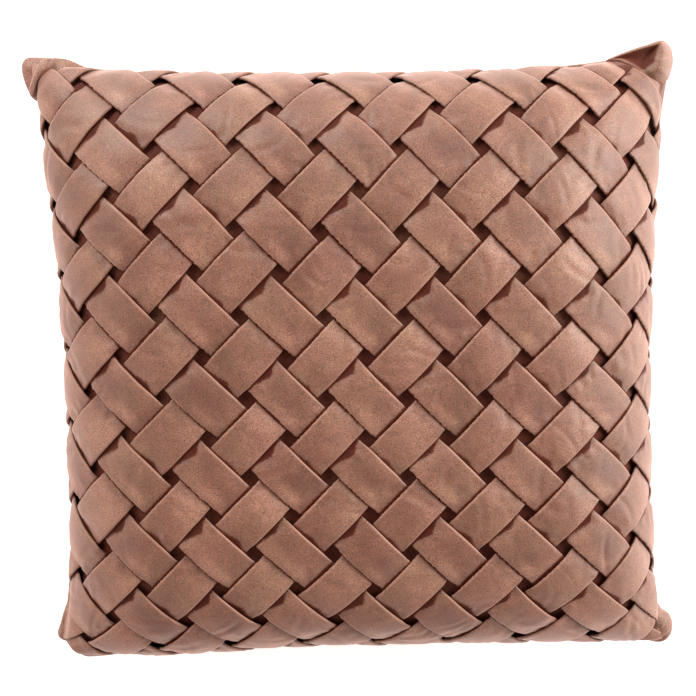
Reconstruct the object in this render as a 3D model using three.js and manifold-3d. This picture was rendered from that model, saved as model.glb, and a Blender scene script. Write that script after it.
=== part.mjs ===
// Square throw cushion whose front is a diagonal basket weave of folded velvet strips.
// It lies on its back: X runs across the face, Y towards its upper edge, Z up out of the face.
// Every strip is its own solid. The filled body under them carries the back and the edge seam.
import * as THREE from "three";
import { mergeVertices } from "three/addons/utils/BufferGeometryUtils.js";
import Module from "manifold-3d";

// Cover: a flat square, sewn round its edge and filled. Millimetres throughout.
const PANEL_HALF = 225;
const HALF_WIDTH = 200;
const HALF_LENGTH = 198;
const SEAM_HEIGHT = 58;
const FRONT_CROWN = 69;
const BACK_CROWN = 65;

// The sides swell a little between the middle and the ears, and the face bows in along its edges.
const SWELL_X = 8;
const SWELL_Y = 3;
const BOW_X = 28;
const BOW_Y = 22;

// The filling draws the middle of each side in, fading towards the ears and into the face.
const DRAW_POWER = 8;
const DRAW = { left: 6, right: 6, upper: 5, lower: 10 };

// Where the weave lies pulled along the face: a place from -1 to 1 across and up the panel, how
// far the pull reaches on the same scale, and how far it moves the cloth. It fades out at the
// sides that it would push in or out.
const PULL_POWER = 8;
const PULLS = [
  { across: 1.1, up: 0.85, reach: 0.9, moveX: -2, moveY: -14 },
  { across: 0.05, up: -1.1, reach: 0.6, moveX: -1.5, moveY: 11.5 },
  { across: -1, up: 0.7, reach: 0.25, moveX: -5, moveY: -10 },
  { across: -1.1, up: -1.1, reach: 0.65, moveX: 10, moveY: -3 },
  { across: 0.5, up: 0.7, reach: 0.55, moveX: -1, moveY: 10 },
  { across: 0.1, up: -0.8, reach: 0.3, moveX: 3, moveY: -6 },
  { across: -0.45, up: 0.45, reach: 0.3, moveX: -2, moveY: 2.5 },
  { across: 0.2, up: 1.05, reach: 0.4, moveX: 4, moveY: -2.5 },
];

// A high power keeps the face full and turns it down late; the back is rounder.
const FRONT_TURN = 8;
const BACK_TURN = 6;
const FRONT_FULLNESS = 5;
const BACK_FULLNESS = 4;

// Each ear is drawn out from its corner by its own amount.
const EAR_POWER = 10;
const EARS = [
  { corner: "upper left", sideX: -1, sideY: 1, outX: -7, outY: 7 },
  { corner: "upper right", sideX: 1, sideY: 1, outX: 4, outY: 11 },
  { corner: "lower left", sideX: -1, sideY: -1, outX: -5, outY: 9 },
  { corner: "lower right", sideX: 1, sideY: -1, outX: 9, outY: 1 },
];

// Edge seam: a low welt all round, on which the strips' ends are sewn.
const WELT_OUT = 4.5;
const WELT_ROUND = 1.2;
const WELT_HALF = 1.5;

// Clear distances: between pieces, and between the body and the strips' facets.
const GAP = 0.3;
const BODY_INSET = 1.1;
const RIM_INSET = 1.6;

// Strips. A rising strip runs from lower left to upper right, a falling one from upper left to
// lower right. Strip number n lies between its family's lines n and n + 1. centre is the line
// number that would meet the middle of the face, turn how far the lines lean from 45 degrees.
const RISING = { name: "rising", first: -8, count: 17, pitch: 37.4, centre: 1.3, turn: -0.45 };
const FALLING = { name: "falling", first: -8, count: 17, pitch: 36.2, centre: 0.33, turn: 0.5 };
const SLIT = 8.8;
const EDGE_THICKNESS = 1.4;
const MIDDLE_THICKNESS = 2.4;

// Unevenness of the weave: how far single lines of slits stand off their even place.
const LINE_SHIFTS = {
  rising: [
    { line: -8, shift: 32 },
    { line: -7, shift: 14 },
    { line: -6, shift: 1 },
    { line: -4, shift: -1 },
    { line: -3, shift: -2 },
    { line: -2, shift: -1 },
    { line: -1, shift: 0.5 },
    { line: 0, shift: 2 },
    { line: 1, shift: 1 },
    { line: 2, shift: 0.5 },
    { line: 9, shift: 5 },
  ],
  falling: [
    { line: -8, shift: 13 },
    { line: -7, shift: 1.5 },
    { line: -6, shift: -0.5 },
    { line: -5, shift: -2.5 },
    { line: -4, shift: -2 },
    { line: -2, shift: 1 },
    { line: -1, shift: 0.5 },
    { line: 1, shift: 0.5 },
  ],
};

// Mesh density: cells across the body, how much they crowd towards its rim, points across a strip.
const BODY_CELLS = 26;
const RIM_CROWDING = 0.6;
const ACROSS = 3;

// A strip is drawn a little past the seam, as a share of the half panel, before it is cut there.
const PAST_SEAM = 1.04;
const EXTRA_LINES = 2;
const NORMAL_STEP = 0.5;

const VELVET = { color: 0xb48470, roughness: 0.85, metalness: 0 };
const BACK_VELVET = { color: 0xa97a67, roughness: 0.9, metalness: 0 };

const SEAM_TOP = SEAM_HEIGHT + WELT_HALF;
const SEAM_BOTTOM = SEAM_HEIGHT - WELT_HALF;

const wasm = await Module();
wasm.setup();

// Share of the half span reached at q of the flat half panel: even at first, then turning down.
function spread(q, span, turn) {
  const slack = PANEL_HALF / span;
  const size = Math.abs(q);
  return Math.sign(q) * (slack * size - (slack - 1) * size ** turn);
}

// How far a side is drawn in at place q across it and r along it: low on its minus side.
function drawnIn(q, r, low, high) {
  const fade = Math.max(1 - r * r, 0);
  return Math.sign(q) * Math.abs(q) ** DRAW_POWER * fade * (q < 0 ? low : high);
}

// Place in plan of the panel's point (q, r), each from -1 to 1 across the flat cover.
function planPoint(q, r, turn) {
  let x = (HALF_WIDTH + SWELL_X * r * r) * spread(q, HALF_WIDTH, turn);
  let y = (HALF_LENGTH + SWELL_Y * q * q) * spread(r, HALF_LENGTH, turn);
  x -= BOW_X * q * (1 - q * q) * r * r;
  y -= BOW_Y * r * (1 - r * r) * q * q;
  x -= drawnIn(q, r, DRAW.left, DRAW.right);
  y -= drawnIn(r, q, DRAW.lower, DRAW.upper);
  for (const pull of PULLS) {
    const away = (q - pull.across) ** 2 + (r - pull.up) ** 2;
    const share = Math.exp(-away / pull.reach ** 2);
    x += pull.moveX * share * Math.max(1 - Math.abs(q) ** PULL_POWER, 0);
    y += pull.moveY * share * Math.max(1 - Math.abs(r) ** PULL_POWER, 0);
  }
  for (const ear of EARS) {
    const pull = (((1 + ear.sideX * q) / 2) * ((1 + ear.sideY * r) / 2)) ** EAR_POWER;
    x += ear.outX * pull;
    y += ear.outY * pull;
  }
  return [x, y];
}

// Height of the crown as a share of its middle; below zero past the seam.
function rise(q, r, fullness) {
  const along = 1 - Math.abs(q) ** fullness;
  const across = 1 - Math.abs(r) ** fullness;
  if (along > 0 && across > 0) return along * across;
  return Math.min(along, 0) + Math.min(across, 0);
}

// Point of the front at (s, t) millimetres on the flat panel.
function frontPoint(s, t) {
  const q = THREE.MathUtils.clamp(s / PANEL_HALF, -PAST_SEAM, PAST_SEAM);
  const r = THREE.MathUtils.clamp(t / PANEL_HALF, -PAST_SEAM, PAST_SEAM);
  const [x, y] = planPoint(q, r, FRONT_TURN);
  return new THREE.Vector3(x, y, SEAM_HEIGHT + FRONT_CROWN * rise(q, r, FRONT_FULLNESS));
}

// Outward unit normal of the front at (s, t), taken just inside the clamp.
function frontNormal(s, t) {
  const limit = PANEL_HALF * PAST_SEAM - NORMAL_STEP;
  const cs = THREE.MathUtils.clamp(s, -limit, limit);
  const ct = THREE.MathUtils.clamp(t, -limit, limit);
  const alongS = frontPoint(cs + NORMAL_STEP, ct).sub(frontPoint(cs - NORMAL_STEP, ct));
  const alongT = frontPoint(cs, ct + NORMAL_STEP).sub(frontPoint(cs, ct - NORMAL_STEP));
  return alongS.cross(alongT).normalize();
}

// A point lifted off the front by height.
function lifted(s, t, height) {
  return frontPoint(s, t).addScaledVector(frontNormal(s, t), height);
}

// A closed mesh geometry from points and triangles of indices.
function indexedGeometry(points, triangles) {
  const geometry = new THREE.BufferGeometry();
  geometry.setAttribute(
    "position",
    new THREE.Float32BufferAttribute(points.flatMap((p) => p.toArray()), 3),
  );
  geometry.setIndex(triangles);
  return geometry;
}

// Steps from -1 to 1, drawn closer together towards both ends, where the face turns down.
function bodySteps() {
  return Array.from({ length: BODY_CELLS + 1 }, (_, i) => {
    const even = (2 * i) / BODY_CELLS - 1;
    return THREE.MathUtils.lerp(even, Math.sin((even * Math.PI) / 2), RIM_CROWDING);
  });
}

// Grid indices of the rim of an (n + 1) by (n + 1) grid, in order round it.
function rimOrder(n) {
  const rim = [];
  for (let i = 0; i < n; i++) rim.push([i, 0]);
  for (let j = 0; j < n; j++) rim.push([n, j]);
  for (let i = n; i > 0; i--) rim.push([i, n]);
  for (let j = n; j > 0; j--) rim.push([0, j]);
  return rim;
}

// The filled body: front, welt and back as one closed skin.
function bodyGeometry() {
  const steps = bodySteps();
  const n = BODY_CELLS;
  const points = [];
  const triangles = [];
  const grid = (makePoint) => {
    const start = points.length;
    for (const q of steps) for (const r of steps) points.push(makePoint(q, r));
    return (i, j) => start + i * (n + 1) + j;
  };
  const front = grid((q, r) => {
    const inset = BODY_INSET + RIM_INSET * (1 - rise(q, r, FRONT_FULLNESS));
    const point = lifted(q * PANEL_HALF, r * PANEL_HALF, -inset);
    point.z = Math.max(point.z, SEAM_TOP);
    return point;
  });
  const back = grid((q, r) => {
    const [x, y] = planPoint(q, r, BACK_TURN);
    const z = SEAM_HEIGHT - BACK_CROWN * rise(q, r, BACK_FULLNESS);
    return new THREE.Vector3(x, y, THREE.MathUtils.clamp(z, 0, SEAM_BOTTOM));
  });
  for (let i = 0; i < n; i++) {
    for (let j = 0; j < n; j++) {
      const cell = (at) => [at(i, j), at(i + 1, j), at(i + 1, j + 1), at(i, j + 1)];
      pushQuad(triangles, cell(front), false);
      pushQuad(triangles, cell(back), true);
    }
  }
  const rim = rimOrder(n);
  const plan = rim.map(([i, j]) => new THREE.Vector2(...planPoint(steps[i], steps[j], FRONT_TURN)));
  const outward = plan.map((_, k) => {
    const before = plan[(k + plan.length - 1) % plan.length];
    const after = plan[(k + 1) % plan.length];
    return new THREE.Vector2(after.y - before.y, before.x - after.x).normalize();
  });
  const weltRing = (out, z) =>
    plan.map((p, k) => {
      const place = p.clone().addScaledVector(outward[k], out);
      return points.push(new THREE.Vector3(place.x, place.y, z)) - 1;
    });
  const rings = [
    rim.map(([i, j]) => front(i, j)),
    weltRing(WELT_OUT - WELT_ROUND, SEAM_TOP),
    weltRing(WELT_OUT, SEAM_HEIGHT),
    weltRing(WELT_OUT - WELT_ROUND, SEAM_BOTTOM),
    rim.map(([i, j]) => back(i, j)),
  ];
  for (let ring = 0; ring + 1 < rings.length; ring++) {
    const [upper, lower] = [rings[ring], rings[ring + 1]];
    upper.forEach((corner, k) => {
      const next = (k + 1) % upper.length;
      pushQuad(triangles, [corner, lower[k], lower[next], upper[next]], false);
    });
  }
  return indexedGeometry(points, triangles);
}

// Where a family's line of slits number index lies, measured across the weave from its middle.
function linePlace(family, index) {
  const row = LINE_SHIFTS[family.name].find((entry) => entry.line === index);
  return family.pitch * (index - family.centre) + (row ? row.shift : 0);
}

// The two edges and the middle of strip number index, measured across the weave.
function stripLines(family, index) {
  const low = linePlace(family, index) + SLIT / 2;
  const high = linePlace(family, index + 1) - SLIT / 2;
  return [low, (low + high) / 2, high];
}

// Place on the flat panel of the weave's point (a, b): a counts across the rising strips towards
// the lower right, b across the falling ones towards the lower left.
function panelPoint(a, b) {
  const across = THREE.MathUtils.degToRad(-45 + RISING.turn);
  const down = THREE.MathUtils.degToRad(-135 + FALLING.turn);
  return [
    a * Math.cos(across) + b * Math.cos(down),
    a * Math.sin(across) + b * Math.sin(down),
  ];
}

const thickness = (place) => (place === 0 ? MIDDLE_THICKNESS : EDGE_THICKNESS);

// The rising strip lies over the falling one where their numbers add up to an even number.
function isOver(family, own, other) {
  const even = (own + other) % 2 === 0;
  return family === RISING ? even : !even;
}

// The stations along a strip: the edges and middle of every strip that it meets.
function stationsOf(family, own, lines) {
  const other = family === RISING ? FALLING : RISING;
  const stations = [];
  const end = other.first + other.count + EXTRA_LINES;
  for (let index = other.first - EXTRA_LINES; index < end; index++) {
    stripLines(other, index).forEach((place, k) => {
      const nodes = lines.map((line) =>
        family === RISING ? panelPoint(line, place) : panelPoint(place, line),
      );
      const over = isOver(family, own, index);
      stations.push({ nodes, over, under: thickness(k - 1) });
    });
  }
  const inside = ([s, t]) => Math.max(Math.abs(s), Math.abs(t)) < PANEL_HALF;
  const touching = stations.map((station) => station.nodes.some(inside));
  const start = Math.max(touching.indexOf(true) - 1, 0);
  return stations.slice(start, touching.lastIndexOf(true) + 2);
}

// Two triangles of a four-cornered face, split between its first and third corner.
function pushQuad(triangles, [a, b, c, d], flip) {
  if (flip) triangles.push(a, c, b, a, d, c);
  else triangles.push(a, b, c, a, c, d);
}

// A strip's ribbon: at every station, points across its lower face and then its upper face. Both
// families split their cells along the same diagonal, so that faces laid on each other match.
function ribbonGeometry(family, own) {
  const stations = stationsOf(family, own, stripLines(family, own));
  const points = [];
  const triangles = [];
  for (const { nodes, over, under } of stations) {
    const bottom = GAP + (over ? under + GAP : 0);
    nodes.forEach(([s, t]) => points.push(lifted(s, t, bottom)));
    nodes.forEach(([s, t], k) => points.push(lifted(s, t, bottom + thickness(k - 1))));
  }
  const mirrored = family === FALLING;
  const upper = ACROSS;
  const last = ACROSS - 1;
  const section = 2 * ACROSS;
  for (let row = 0; row + 1 < stations.length; row++) {
    const here = row * section;
    const next = here + section;
    for (let k = 0; k < last; k++) {
      const lowerFace = [here + k, here + k + 1, next + k + 1, next + k];
      pushQuad(triangles, lowerFace, mirrored);
      pushQuad(triangles, lowerFace.map((corner) => corner + upper), !mirrored);
    }
    pushQuad(triangles, [here + upper, here, next, next + upper], mirrored);
    pushQuad(triangles, [here + last, here + upper + last, next + upper + last, next + last], mirrored);
  }
  for (const [start, isFirst] of [[0, true], [(stations.length - 1) * section, false]]) {
    for (let k = 0; k < last; k++) {
      const cap = [start + k, start + upper + k, start + upper + k + 1, start + k + 1];
      pushQuad(triangles, cap, isFirst === mirrored);
    }
  }
  return indexedGeometry(points, triangles);
}

function toSolid(geometry) {
  geometry.deleteAttribute("normal");
  geometry.deleteAttribute("uv");
  const merged = mergeVertices(geometry);
  return new wasm.Manifold(
    new wasm.Mesh({
      numProp: 3,
      vertProperties: merged.attributes.position.array,
      triVerts: new Uint32Array(merged.index.array),
    }),
  );
}

function toGeometry(solid) {
  const mesh = solid.getMesh();
  const geometry = new THREE.BufferGeometry();
  geometry.setAttribute("position", new THREE.BufferAttribute(mesh.vertProperties, 3));
  geometry.setIndex(new THREE.BufferAttribute(mesh.triVerts, 1));
  geometry.computeVertexNormals();
  return geometry;
}

// A block of all the space above the welt, where the strips stay.
function aboveSeam() {
  const side = 4 * PANEL_HALF;
  const box = new THREE.BoxGeometry(side, side, side);
  box.translate(0, 0, SEAM_TOP + GAP + side / 2);
  return toSolid(box);
}

// A strip, cut off where it meets the welt; a crumb that the cut leaves at an ear is dropped.
function stripGeometry(family, own, room) {
  const pieces = toSolid(ribbonGeometry(family, own)).intersect(room).decompose();
  pieces.sort((one, two) => two.volume() - one.volume());
  return toGeometry(pieces[0]);
}

function buildCushion() {
  const cushion = new THREE.Group();
  const add = (name, geometry, look) => {
    const mesh = new THREE.Mesh(geometry, new THREE.MeshStandardMaterial(look));
    mesh.name = name;
    cushion.add(mesh);
  };
  const body = bodyGeometry();
  body.computeVertexNormals();
  add("filled_body", body, BACK_VELVET);
  const room = aboveSeam();
  for (const family of [RISING, FALLING]) {
    for (let k = 0; k < family.count; k++) {
      const number = String(k + 1).padStart(2, "0");
      add(`${family.name}_strip_${number}`, stripGeometry(family, family.first + k, room), VELVET);
    }
  }
  return cushion;
}

export default buildCushion();
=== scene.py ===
import math

import bpy
import numpy as np
from mathutils import Matrix, Vector


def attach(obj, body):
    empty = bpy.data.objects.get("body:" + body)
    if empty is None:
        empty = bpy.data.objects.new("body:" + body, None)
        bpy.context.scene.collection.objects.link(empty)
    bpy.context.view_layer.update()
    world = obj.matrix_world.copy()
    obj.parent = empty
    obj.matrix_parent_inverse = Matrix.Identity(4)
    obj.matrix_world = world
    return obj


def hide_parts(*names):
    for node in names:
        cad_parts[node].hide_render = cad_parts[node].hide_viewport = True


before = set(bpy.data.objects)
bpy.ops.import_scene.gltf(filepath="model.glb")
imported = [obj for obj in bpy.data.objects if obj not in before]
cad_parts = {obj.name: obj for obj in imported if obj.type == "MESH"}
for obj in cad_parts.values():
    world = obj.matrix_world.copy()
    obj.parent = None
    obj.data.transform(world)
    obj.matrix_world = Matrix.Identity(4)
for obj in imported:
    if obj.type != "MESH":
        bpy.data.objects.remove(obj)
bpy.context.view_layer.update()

# Sizes are in millimetres, as on the cushion's solids; MM turns them into metres.
MM = 0.001

# Cover: a flat square, sewn round its edge and filled.
PANEL_HALF = 225.0
HALF_WIDTH = 200.0
HALF_LENGTH = 198.0
SEAM_HEIGHT = 58.0
FRONT_CROWN = 69.0
BACK_CROWN = 65.0
SWELL_X = 8.0
SWELL_Y = 3.0
BOW_X = 28.0
BOW_Y = 22.0
DRAW_POWER = 8
# how far the filling draws the middle of each side in, on the minus side and on the plus side
DRAW_X = (6.0, 6.0)
DRAW_Y = (10.0, 5.0)
# where the weave lies pulled along the face: across, up, reach, then how far in X and Y
PULL_POWER = 8
PULLS = [
    (1.1, 0.85, 0.9, -2.0, -14.0),
    (0.05, -1.1, 0.6, -1.5, 11.5),
    (-1.0, 0.7, 0.25, -5.0, -10.0),
    (-1.1, -1.1, 0.65, 10.0, -3.0),
    (0.5, 0.7, 0.55, -1.0, 10.0),
    (0.1, -0.8, 0.3, 3.0, -6.0),
    (-0.45, 0.45, 0.3, -2.0, 2.5),
    (0.2, 1.05, 0.4, 4.0, -2.5),
]
FRONT_TURN = 8
BACK_TURN = 6
FRONT_FULLNESS = 5
BACK_FULLNESS = 4
EAR_POWER = 10
# side in X and Y, then how far the ear is drawn out in X and Y
EARS = [(-1, 1, -7.0, 7.0), (1, 1, 4.0, 11.0), (-1, -1, -5.0, 9.0), (1, -1, 9.0, 1.0)]

# Weave: each strip lies between two lines of slits. tuck, crest and soft are the depth, place and
# softness of the painted shadow where a float dives under its neighbour, where it also sinks; sign and
# odd say which crossings it passes over; trim narrows it and fray is the share of loose pile on its open
# fold.
RISING = {
    "name": "rising", "first": -8, "count": 17, "pitch": 37.4, "centre": 1.3, "turn": -0.45,
    "tuck": (2.6, 4.6), "crest": 0.3, "soft": 2.2, "sign": 1, "odd": 0, "trim": 0.5, "fray": 0.5,
}
FALLING = {
    "name": "falling", "first": -8, "count": 17, "pitch": 36.2, "centre": 0.33, "turn": 0.5,
    "tuck": (4.2, 6.4), "crest": -0.25, "soft": 1.2, "sign": -1, "odd": 1, "trim": 0.0, "fray": 1.0,
}
SLIT = 8.8
LINE_SHIFTS = {
    "rising": {-8: 32, -7: 14, -6: 1, -4: -1, -3: -2, -2: -1, -1: 0.5, 0: 2, 1: 1, 2: 0.5, 9: 5},
    "falling": {-8: 13, -7: 1.5, -6: -0.5, -5: -2.5, -4: -2, -2: 1, -1: 0.5, 1: 0.5},
}

# The photograph's frame and the view it was taken from, found from the lie of the weave.
FRAME_PX = 696
VIEW_DISTANCE = 1000.0
VIEW_TILT = 8.5
VIEW_SIDE = -2.6
VIEW_ROLL = 0.85
FOCAL_PX = 1460.0
MIDDLE_PX = (359.3, 366.0)
SENSOR_MM = 36.0


def make_camera():
    tilt, side, roll = (math.radians(a) for a in (VIEW_TILT, VIEW_SIDE, VIEW_ROLL))
    back = Vector((math.sin(side), math.sin(tilt) * math.cos(side), math.cos(tilt) * math.cos(side)))
    back.normalize()
    right = Vector((0, 1, 0)).cross(back).normalized()
    up = back.cross(right)
    rolled_right = right * math.cos(roll) - up * math.sin(roll)
    rolled_up = right * math.sin(roll) + up * math.cos(roll)
    camera = bpy.data.objects.new("camera", bpy.data.cameras.new("camera"))
    bpy.context.scene.collection.objects.link(camera)
    turn = Matrix((rolled_right, rolled_up, back)).transposed().to_4x4()
    place = Vector((0, 0, SEAM_HEIGHT)) + back * VIEW_DISTANCE
    camera.matrix_world = Matrix.Translation(place * MM) @ turn
    camera.data.sensor_width = SENSOR_MM
    camera.data.lens = FOCAL_PX / FRAME_PX * SENSOR_MM
    camera.data.shift_x = (FRAME_PX / 2 - MIDDLE_PX[0]) / FRAME_PX
    camera.data.shift_y = (MIDDLE_PX[1] - FRAME_PX / 2) / FRAME_PX
    bpy.context.scene.camera = camera


make_camera()


# Shape of the filled cover


def spread(q, span, turn):
    """How far out the flat panel's place q comes: its spare length goes into the turn at the edge."""
    slack = PANEL_HALF / span
    size = np.abs(q)
    return np.sign(q) * (slack * size - (slack - 1) * size**turn)


def drawn_in(q, r, low, high):
    """How far a side is drawn in at place q across it and r along it: low on its minus side."""
    fade = np.maximum(1 - r * r, 0)
    return np.sign(q) * np.abs(q) ** DRAW_POWER * fade * np.where(q < 0, low, high)


def plan_point(q, r, turn):
    x = (HALF_WIDTH + SWELL_X * r * r) * spread(q, HALF_WIDTH, turn)
    y = (HALF_LENGTH + SWELL_Y * q * q) * spread(r, HALF_LENGTH, turn)
    x = x - BOW_X * q * (1 - q * q) * r * r
    y = y - BOW_Y * r * (1 - r * r) * q * q
    x = x - drawn_in(q, r, *DRAW_X)
    y = y - drawn_in(r, q, *DRAW_Y)
    for across, up, reach, move_x, move_y in PULLS:
        share = np.exp(-((q - across) ** 2 + (r - up) ** 2) / reach**2)
        x = x + move_x * share * np.maximum(1 - np.abs(q) ** PULL_POWER, 0)
        y = y + move_y * share * np.maximum(1 - np.abs(r) ** PULL_POWER, 0)
    for side_x, side_y, out_x, out_y in EARS:
        pull = (np.maximum((1 + side_x * q) / 2, 0) * np.maximum((1 + side_y * r) / 2, 0)) ** EAR_POWER
        x = x + out_x * pull
        y = y + out_y * pull
    return x, y


def rise(q, r, fullness):
    along = 1 - np.abs(q) ** fullness
    across = 1 - np.abs(r) ** fullness
    past = np.minimum(along, 0) + np.minimum(across, 0)
    return np.where((along > 0) & (across > 0), along * across, past)


def front_point(s, t):
    q, r = np.asarray(s) / PANEL_HALF, np.asarray(t) / PANEL_HALF
    x, y = plan_point(q, r, FRONT_TURN)
    return np.stack([x, y, SEAM_HEIGHT + FRONT_CROWN * rise(q, r, FRONT_FULLNESS)], -1)


def front_normal(s, t, step=1.0):
    along = front_point(s + step, t) - front_point(s - step, t)
    across = front_point(s, t + step) - front_point(s, t - step)
    normal = np.cross(along, across)
    return normal / np.linalg.norm(normal, axis=-1, keepdims=True)


def lifted(s, t, height):
    return front_point(s, t) + front_normal(s, t) * np.asarray(height)[..., None]


# Weave


def line_place(family, index):
    return family["pitch"] * (index - family["centre"]) + LINE_SHIFTS[family["name"]].get(index, 0)


def strip_edges(family, index):
    return line_place(family, index) + SLIT / 2, line_place(family, index + 1) - SLIT / 2


def panel_point(a, b):
    across = math.radians(-45 + RISING["turn"])
    down = math.radians(-135 + FALLING["turn"])
    s = a * math.cos(across) + b * math.cos(down)
    t = a * math.sin(across) + b * math.sin(down)
    return s, t


class Waves:
    """Smooth even noise: a sum of sines with seeded directions, of wavelengths in one range."""

    def __init__(self, rng, shortest, longest, count=9):
        angle = rng.uniform(0, 2 * np.pi, count)
        size = 2 * np.pi / rng.uniform(shortest, longest, count)
        self.kx = size * np.cos(angle)
        self.ky = size * np.sin(angle)
        self.phase = rng.uniform(0, 2 * np.pi, count)

    def __call__(self, x, y=0.0):
        x, y = np.asarray(x)[..., None], np.asarray(y)[..., None]
        waves = np.sin(self.kx * x + self.ky * y + self.phase)
        return waves.sum(-1) / math.sqrt(len(self.phase) / 2)


def smooth(x, low, high):
    x = np.clip((x - low) / (high - low), 0, 1)
    return x * x * (3 - 2 * x)


def hump(x, centre, width):
    return np.exp(-(((x - centre) / width) ** 2))


def mesh_object(name, points, faces, materials, attributes=None, dark=None):
    """A smooth mesh that carries attributes at its points. Where dark, its painted shade, passes one
    half on a face, the face takes the second material, the velvet's shaded copy."""
    mesh = bpy.data.meshes.new(name)
    mesh.from_pydata((np.asarray(points) * MM).tolist(), [], faces)
    mesh.polygons.foreach_set("use_smooth", [True] * len(mesh.polygons))
    for key, values in (attributes or {}).items():
        layer = mesh.attributes.new(key, "FLOAT", "POINT")
        layer.data.foreach_set("value", np.asarray(values, np.float32).ravel())
    for material in materials:
        mesh.materials.append(material)
    if dark is not None:
        dark = np.asarray(dark, float)
        slots = [int(dark[list(face)].mean() > 0.5) for face in faces]
        mesh.polygons.foreach_set("material_index", slots)
    piece = bpy.data.objects.new(name, mesh)
    bpy.context.scene.collection.objects.link(piece)
    return piece


def ring_faces(loops, count):
    """Quads between closed loops of count points, one loop after another."""
    faces = []
    for k in range(loops - 1):
        for i in range(count):
            m = (i + 1) % count
            faces.append((k * count + i, k * count + m, (k + 1) * count + m, (k + 1) * count + i))
    return faces


def turned(faces):
    return [face[::-1] for face in faces]


# Velvet


def feed(tree, sockets, values):
    """Links each value that is a socket, and sets each one that is a number or a colour."""
    for socket, value in zip(sockets, values):
        if isinstance(value, bpy.types.NodeSocket):
            tree.links.new(value, socket)
        else:
            socket.default_value = value


def mix_colour(tree, share, first, second, how="MIX"):
    mix = tree.nodes.new("ShaderNodeMix")
    mix.data_type = "RGBA"
    mix.blend_type = how
    feed(tree, (mix.inputs[0], mix.inputs[6], mix.inputs[7]), (share, first, second))
    return mix.outputs[2]


def maths(tree, how, *values, clamp=False):
    made = tree.nodes.new("ShaderNodeMath")
    made.operation = how
    made.use_clamp = clamp
    feed(tree, made.inputs, values)
    return made.outputs[0]


def noise(tree, coords, scale, detail, roughness=0.55):
    made = tree.nodes.new("ShaderNodeTexNoise")
    made.inputs["Scale"].default_value = scale
    made.inputs["Detail"].default_value = detail
    made.inputs["Roughness"].default_value = roughness
    tree.links.new(coords, made.inputs["Vector"])
    return made.outputs[0]


def attribute(tree, name):
    made = tree.nodes.new("ShaderNodeAttribute")
    made.attribute_name = name
    return made.outputs["Fac"]


# Noises of the velvet: scale, detail and roughness
CLOUDS = (26.0, 3.0)
SMUDGE = (95.0, 4.0, 0.6)
PILE = (1500.0, 2.0, 0.8)
HUE = (34.0, 2.0)
SMUDGE_SHARE = 0.65
# Each pair multiplies a noise and is added to it
HUE_RANGE = (2.2, -0.6)
SPECK_RANGE = (4.6, -1.3)
# how strong the painted shade in the hollows is from place to place
HOLLOW_SHADE_RANGE = (-1.6, 1.75)
ROUGH_RANGE = (0.2, 0.48)
RAMP_ENDS = (0.1, 0.9)
# colours of painted shade: on the strips where floats dive under and along each neighbour's edge, and in
# the cover's hollows
SHADED = (0.052, 0.008, 0.004, 1)
HOLLOW_SHADE_COLOUR = (0.085, 0.017, 0.010, 1)
# pale colour of a painted sheen, mixed in where the surface is seen at a glancing angle
GLANCING_SHEEN_COLOUR = (0.62, 0.37, 0.29, 1)
ROSY = (1.03, 0.94, 1.0, 1)
TAWNY = (0.97, 1.03, 0.97, 1)
# how the painted sheen grows towards glancing angles, and its share
GLANCING_POWER = 1.6
GLANCING_SHARE = 0.35
# share and brightness of the painted highlight on the folds
RIM_HIGHLIGHT_SHARE = 0.6
RIM_HIGHLIGHT_GAIN = 1.35
# share of the painted shade on the strips
PAINTED_SHADE_SHARE = 0.94
SPECULAR = 0.9
# specular of the velvet's shaded copy, put on faces under painted shade
SHADED_COPY_SPECULAR = 0.1
SPECULAR_TINT = (1.0, 0.9, 0.82, 1)
SHEEN = 0.35
SHEEN_ROUGHNESS = 0.4
SHEEN_TINT = (1.0, 0.62, 0.52, 1)
PILE_RELIEF = 0.35
SMUDGE_RELIEF = 0.9
BUMP_STRENGTH = 0.35
BUMP_DISTANCE = 0.0006


def nap_ramp(tree, lay, deep, middle, light):
    ramp = tree.nodes.new("ShaderNodeValToRGB")
    elements = ramp.color_ramp.elements
    for element, place, colour in zip(elements, RAMP_ENDS, (deep, light)):
        element.position = place
        element.color = (*colour, 1)
    elements.new(0.5).color = (*middle, 1)
    tree.links.new(lay, ramp.inputs[0])
    return ramp.outputs[0]


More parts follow.
